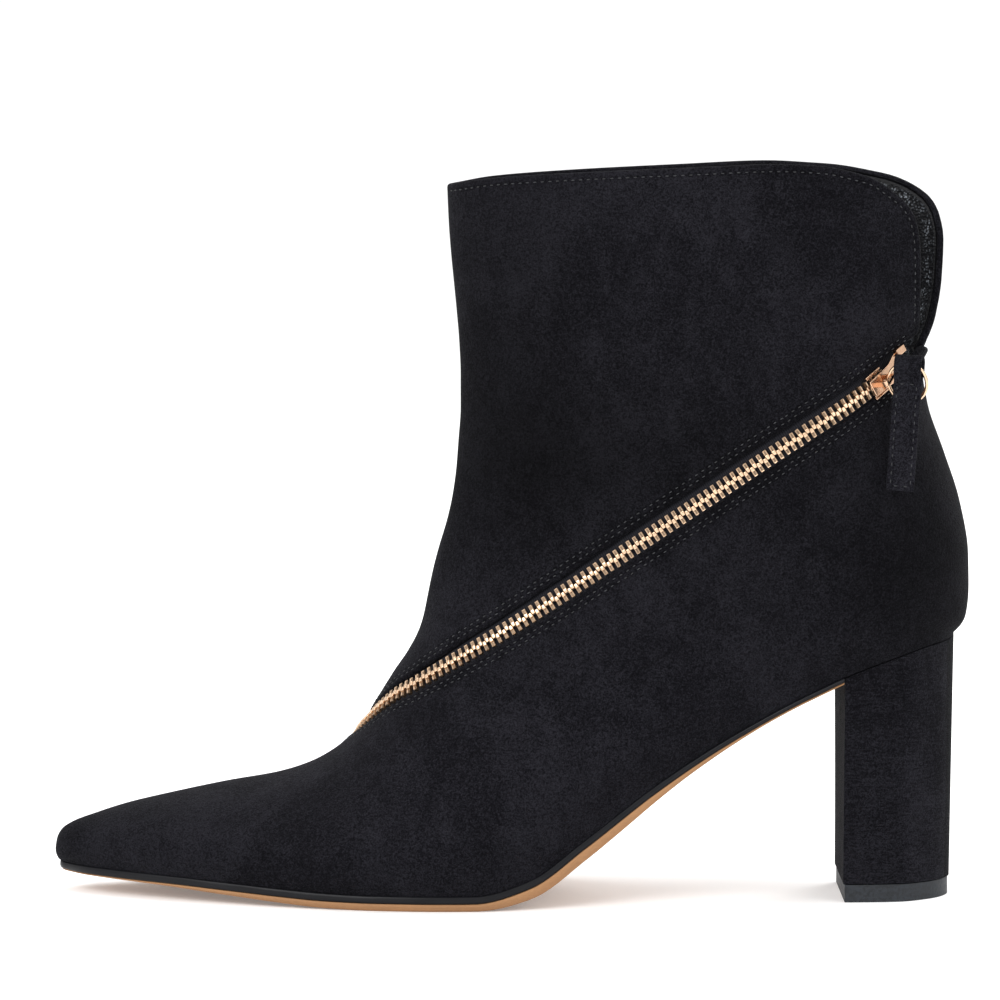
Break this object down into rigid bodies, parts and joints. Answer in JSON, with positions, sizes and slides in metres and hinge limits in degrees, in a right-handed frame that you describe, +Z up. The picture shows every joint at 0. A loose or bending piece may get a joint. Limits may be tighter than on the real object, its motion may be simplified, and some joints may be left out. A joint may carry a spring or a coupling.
{
  "type": "ankle bootie",
  "caption": "Pointed-toe ankle bootie in black faux suede with a diagonal gold zip, a hanging pull tab, a covered block heel and a tan sole.",
  "frame": {"origin": "middle of the box round the shoe, on the floor", "axes": "+X from the toe to the heel, +Y from the lateral to the medial side, +Z up"},
  "size_m": [0.261, 0.0859, 0.2084],
  "materials": {
    "suede": "napped matte",
    "board": "satin",
    "black_edge": "gloss",
    "tan_rubber": "matte",
    "grey_rubber": "matte",
    "tape": "woven",
    "gold": "polished pale gold"
  },
  "bodies": {
    "boot": {"upper": "suede", "insole": "board", "sole_edge": "black_edge", "outsole": "tan_rubber", "heel": "suede", "heel_lift": "grey_rubber", "zip_tape_upper": "tape", "zip_tape_lower": "tape", "zip_teeth": "gold", "zip_slider": "gold"},
    "pull": {"pull_ring": "gold", "pull_tab": "suede"}
  },
  "joints": [
    {"name": "pull_hinge", "type": "hinge", "parent": "boot", "child": "pull", "pos_m": [0.10562, -0.02572, 0.14824], "axis": [-0.1392, 0, -0.9903], "range_deg": [0, 45]}
  ]
}
